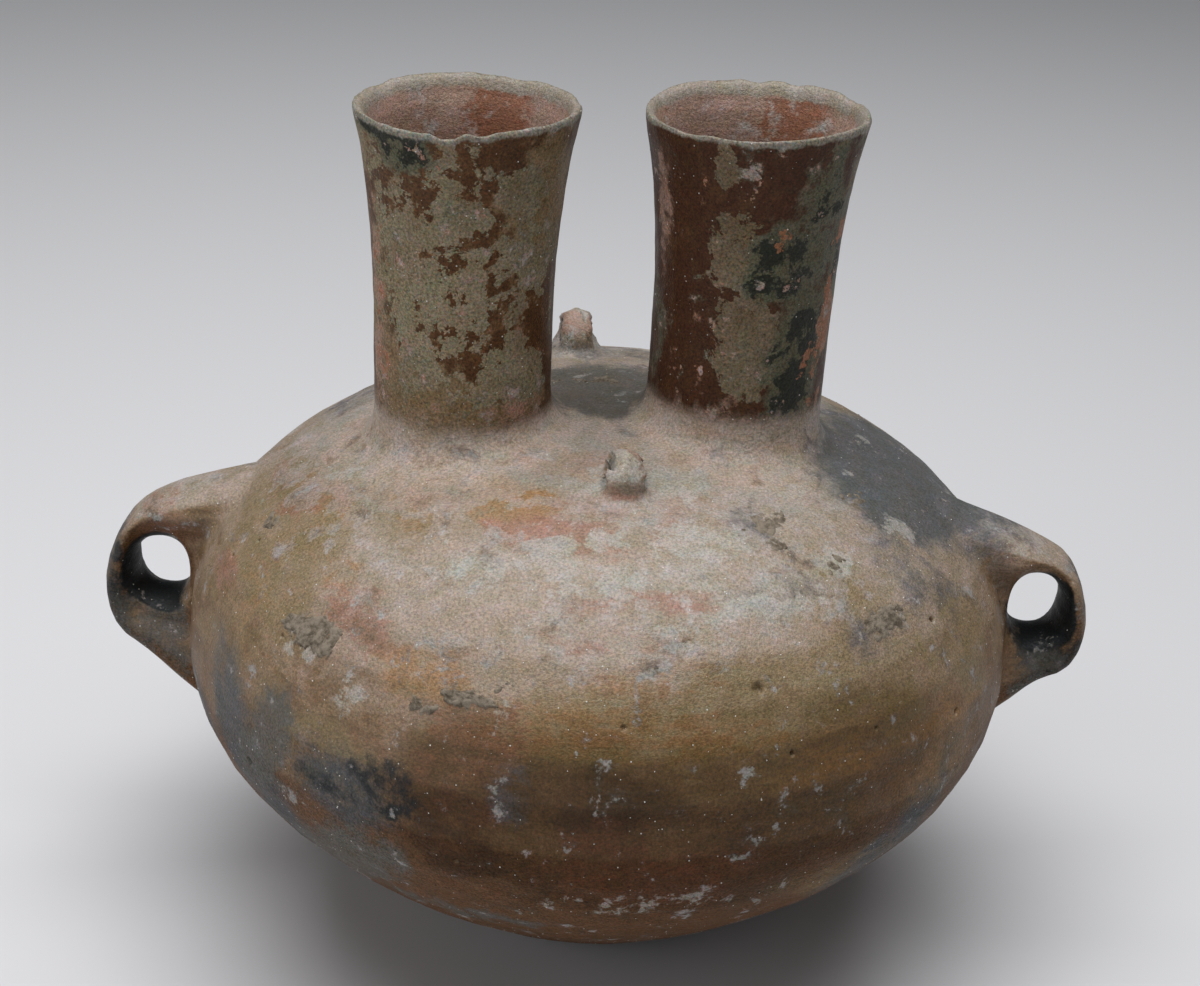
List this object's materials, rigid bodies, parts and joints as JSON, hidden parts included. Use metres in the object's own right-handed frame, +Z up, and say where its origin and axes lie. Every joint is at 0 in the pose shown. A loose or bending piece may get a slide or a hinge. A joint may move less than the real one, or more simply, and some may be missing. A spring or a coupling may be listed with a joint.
{
  "type": "double-spouted pottery jar",
  "caption": "Squat hollow pottery jar with twin upright necks flaring to open mouths, strap handles at its ends, pierced lugs on its shoulder and a small flat foot.",
  "frame": {"origin": "centre of the flat foot, on the surface that the jar stands on", "axes": "+X along the line through both necks, towards the right-hand neck seen from the front; front faces -Y; +Z up"},
  "size_m": [0.27, 0.224, 0.2317],
  "materials": {
    "fired_clay": "burnished, low-fired reddish-brown earthenware with fire clouds, worn slip and dirt"
  },
  "bodies": {
    "root": {"jar": "fired_clay"}
  },
  "joints": []
}
